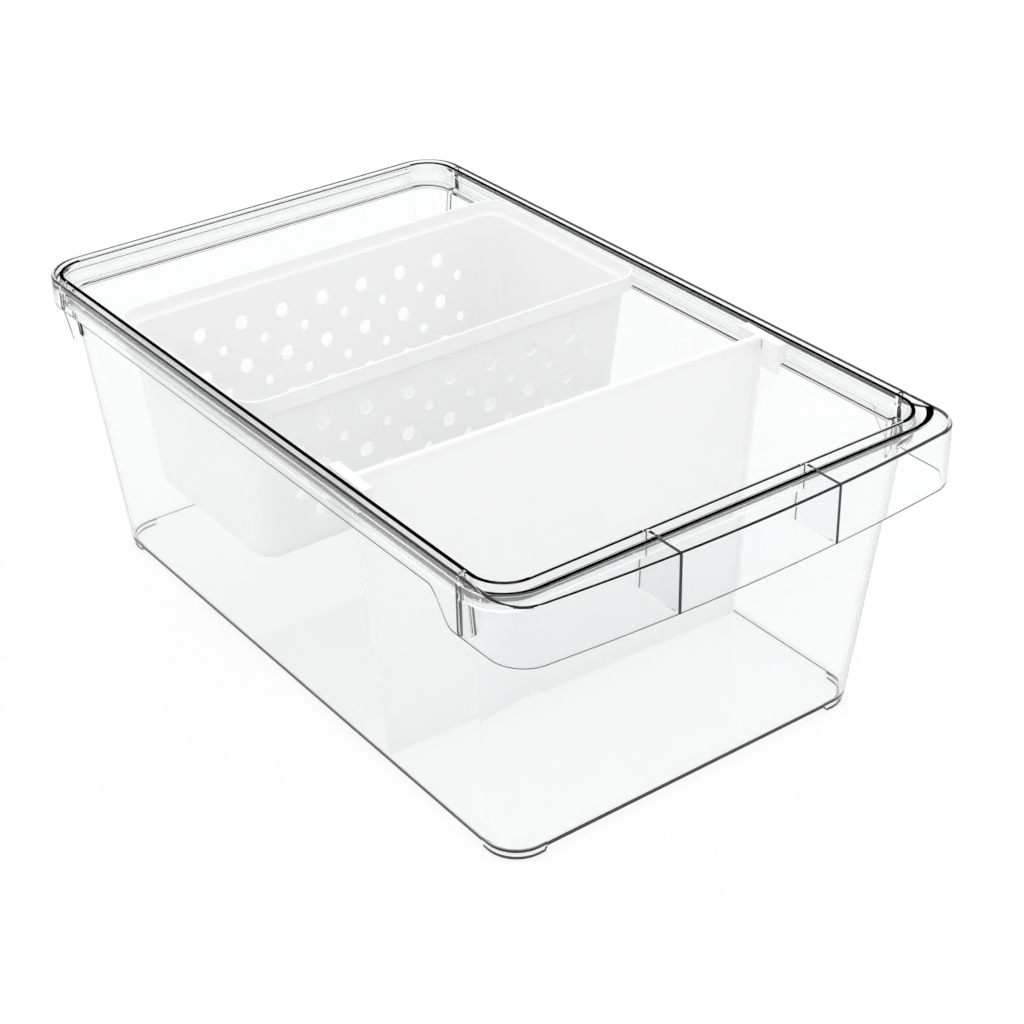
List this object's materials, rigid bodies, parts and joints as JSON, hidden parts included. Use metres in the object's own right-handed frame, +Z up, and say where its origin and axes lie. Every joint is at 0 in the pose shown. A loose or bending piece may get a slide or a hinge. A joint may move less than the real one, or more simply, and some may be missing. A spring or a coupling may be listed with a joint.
{
  "type": "fridge drawer organizer",
  "caption": "Clear pull-out fridge bin with a front handle, a perforated basket hanging on an inner ledge and a sliding crosswise divider.",
  "frame": {"origin": "on the resting surface, in the middle of the outline seen from above", "axes": "+X to the right seen from the handle, +Y from the handle end to the back end, +Z up"},
  "size_m": [0.2174, 0.361, 0.1383],
  "materials": {
    "clear_plastic": "clear, glossy",
    "basket_plastic": "satin white",
    "divider_plastic": "satin white"
  },
  "bodies": {
    "bin": {"bin": "clear_plastic"},
    "basket": {"basket": "basket_plastic"},
    "divider": {"divider": "divider_plastic"}
  },
  "joints": [
    {"name": "basket_lift", "type": "slide", "parent": "bin", "child": "basket", "axis": [0, 0, 1], "range_m": [0, 0.1]},
    {"name": "divider_slide", "type": "slide", "parent": "bin", "child": "divider", "axis": [0, 1, 0], "range_m": [-0.058, 0.055]}
  ]
}
